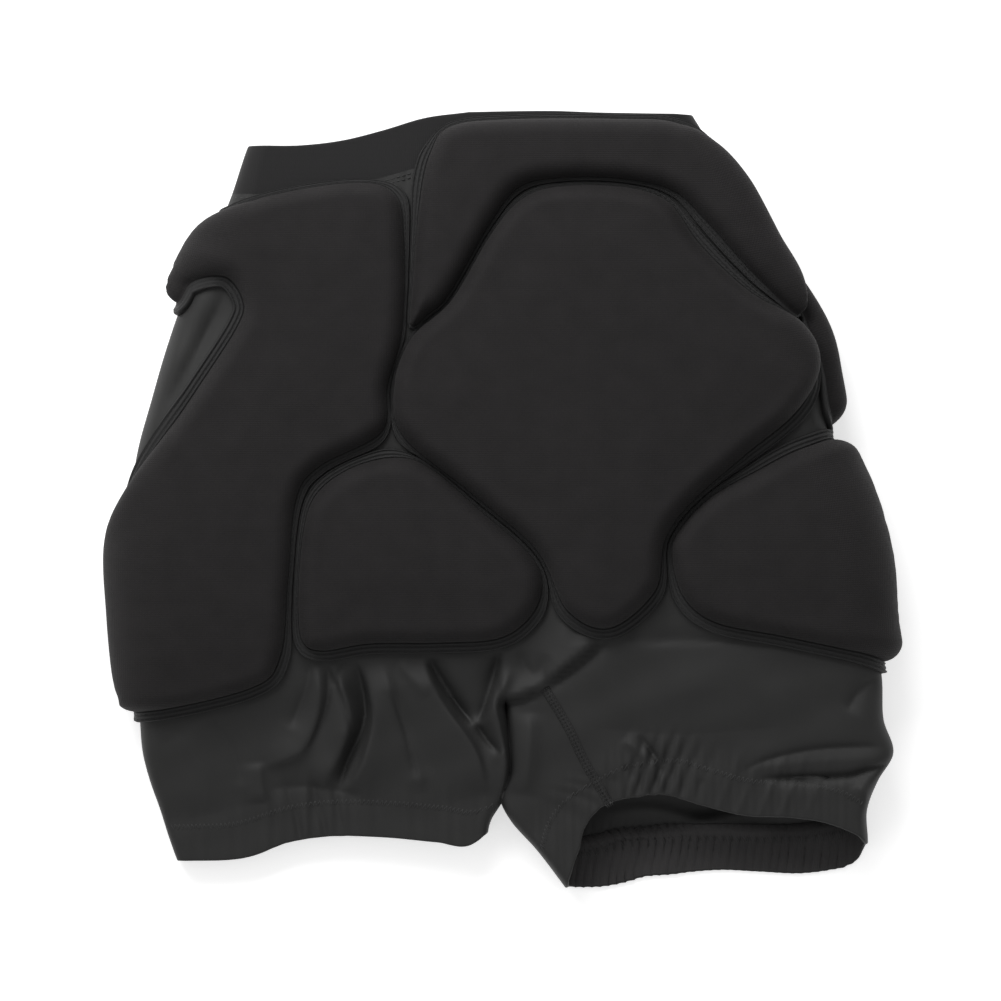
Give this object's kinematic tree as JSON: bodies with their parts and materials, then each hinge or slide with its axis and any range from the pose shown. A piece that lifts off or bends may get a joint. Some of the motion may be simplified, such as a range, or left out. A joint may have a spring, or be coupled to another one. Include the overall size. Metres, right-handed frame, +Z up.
{
  "type": "padded sports shorts with hip and tailbone pads",
  "caption": "Short stretch trousers that carry crowned foam pads over the hips, seat, tailbone and lower back, lying flat with the back side up.",
  "frame": {"origin": "on the floor under the middle of the garment's bounding box", "axes": "+Z up off the floor through the cloth's thickness, +Y towards the waist, +X towards the wearer's right side as it lies back up"},
  "size_m": [0.4402, 0.4286, 0.0588],
  "materials": {
    "cloth": "satin stretch knit",
    "waistband": "doubled stretch knit",
    "hem": "gathered elastic knit",
    "pad": "matte knit over foam"
  },
  "bodies": {
    "root": {"back_panel": "cloth", "front_panel": "cloth", "waistband": "waistband", "left_hem": "hem", "right_hem": "hem", "tailbone_pad": "pad", "lumbar_pad": "pad", "left_hip_pad": "pad", "right_hip_pad": "pad", "left_seat_pad": "pad", "right_seat_pad": "pad"}
  },
  "joints": []
}
